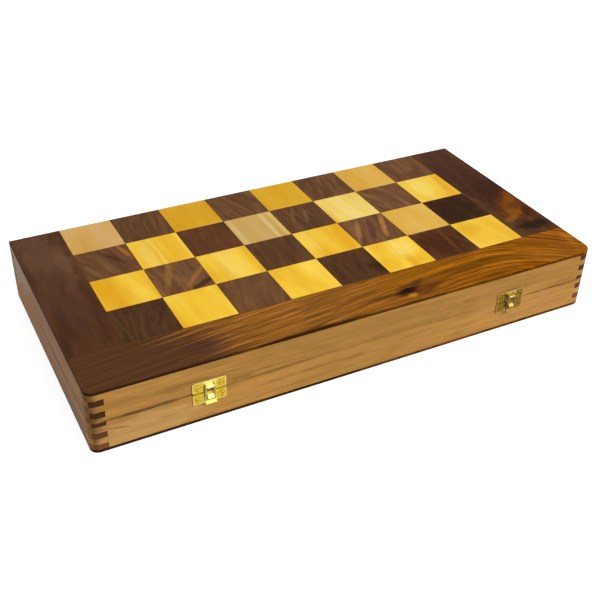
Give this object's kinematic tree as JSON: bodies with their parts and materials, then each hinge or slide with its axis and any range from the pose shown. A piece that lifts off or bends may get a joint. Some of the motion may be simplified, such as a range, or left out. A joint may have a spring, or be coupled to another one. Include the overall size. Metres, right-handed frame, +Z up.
{
  "type": "folding chess board",
  "caption": "Chess board that folds into a shallow wooden case: finger-jointed trays with a chequered inlaid face, brass butt hinges at the back and swinging hasp clasps at the front.",
  "frame": {"origin": "middle of the closed wooden case's footprint, on the surface that it lies on", "axes": "+X along the board, from the left clasp to the right one; +Y from the clasps to the hinges; +Z up, out of the upper chequered face"},
  "size_m": [0.508, 0.2615, 0.0625],
  "materials": {
    "wall_wood": "tan hardwood, planed and thinly lacquered",
    "dark_wood": "dark streaky rosewood, sanded and lacquered satin",
    "light_wood": "golden boxwood, sanded and lacquered satin",
    "brass": "thin pressed brass, bright"
  },
  "bodies": {
    "lower_tray": {"lower_front_wall": "wall_wood", "lower_back_wall": "wall_wood", "lower_left_wall": "wall_wood", "lower_right_wall": "wall_wood", "lower_field_panel": "dark_wood", "lower_front_border": "dark_wood", "lower_left_border": "dark_wood", "lower_right_border": "dark_wood", "lower_light_square_r1_c2": "light_wood", "lower_light_square_r1_c4": "light_wood", "lower_light_square_r1_c6": "light_wood", "lower_light_square_r1_c8": "light_wood", "lower_light_square_r2_c1": "light_wood", "lower_light_square_r2_c3": "light_wood", "lower_light_square_r2_c5": "light_wood", "lower_light_square_r2_c7": "light_wood", "lower_light_square_r3_c2": "light_wood", "lower_light_square_r3_c4": "light_wood", "lower_light_square_r3_c6": "light_wood", "lower_light_square_r3_c8": "light_wood", "lower_light_square_r4_c1": "light_wood", "lower_light_square_r4_c3": "light_wood", "lower_light_square_r4_c5": "light_wood", "lower_light_square_r4_c7": "light_wood", "lower_left_hinge_leaf": "brass", "lower_right_hinge_leaf": "brass", "left_hinge_pin": "brass", "left_clasp_catch": "brass", "right_hinge_pin": "brass", "right_clasp_catch": "brass"},
    "upper_tray": {"upper_front_wall": "wall_wood", "upper_back_wall": "wall_wood", "upper_left_wall": "wall_wood", "upper_right_wall": "wall_wood", "upper_field_panel": "dark_wood", "upper_front_border": "dark_wood", "upper_left_border": "dark_wood", "upper_right_border": "dark_wood", "upper_light_square_r1_c1": "light_wood", "upper_light_square_r1_c3": "light_wood", "upper_light_square_r1_c5": "light_wood", "upper_light_square_r1_c7": "light_wood", "upper_light_square_r2_c2": "light_wood", "upper_light_square_r2_c4": "light_wood", "upper_light_square_r2_c6": "light_wood", "upper_light_square_r2_c8": "light_wood", "upper_light_square_r3_c1": "light_wood", "upper_light_square_r3_c3": "light_wood", "upper_light_square_r3_c5": "light_wood", "upper_light_square_r3_c7": "light_wood", "upper_light_square_r4_c2": "light_wood", "upper_light_square_r4_c4": "light_wood", "upper_light_square_r4_c6": "light_wood", "upper_light_square_r4_c8": "light_wood", "upper_left_hinge_leaf": "brass", "upper_right_hinge_leaf": "brass", "left_clasp_plate": "brass", "right_clasp_plate": "brass"},
    "left_hasp": {"left_clasp_hasp": "brass"},
    "right_hasp": {"right_clasp_hasp": "brass"}
  },
  "joints": [
    {"name": "lid_hinge", "type": "hinge", "parent": "lower_tray", "child": "upper_tray", "pos_m": [0, 0.1272, 0.03125], "axis": [-1, 0, 0], "range_deg": [0, 180]},
    {"name": "left_hasp_pivot", "type": "hinge", "parent": "upper_tray", "child": "left_hasp", "pos_m": [-0.152, -0.1297, 0.0369], "axis": [-1, 0, 0], "range_deg": [0, 180]},
    {"name": "right_hasp_pivot", "type": "hinge", "parent": "upper_tray", "child": "right_hasp", "pos_m": [0.157, -0.1297, 0.0369], "axis": [-1, 0, 0], "range_deg": [0, 180]}
  ]
}
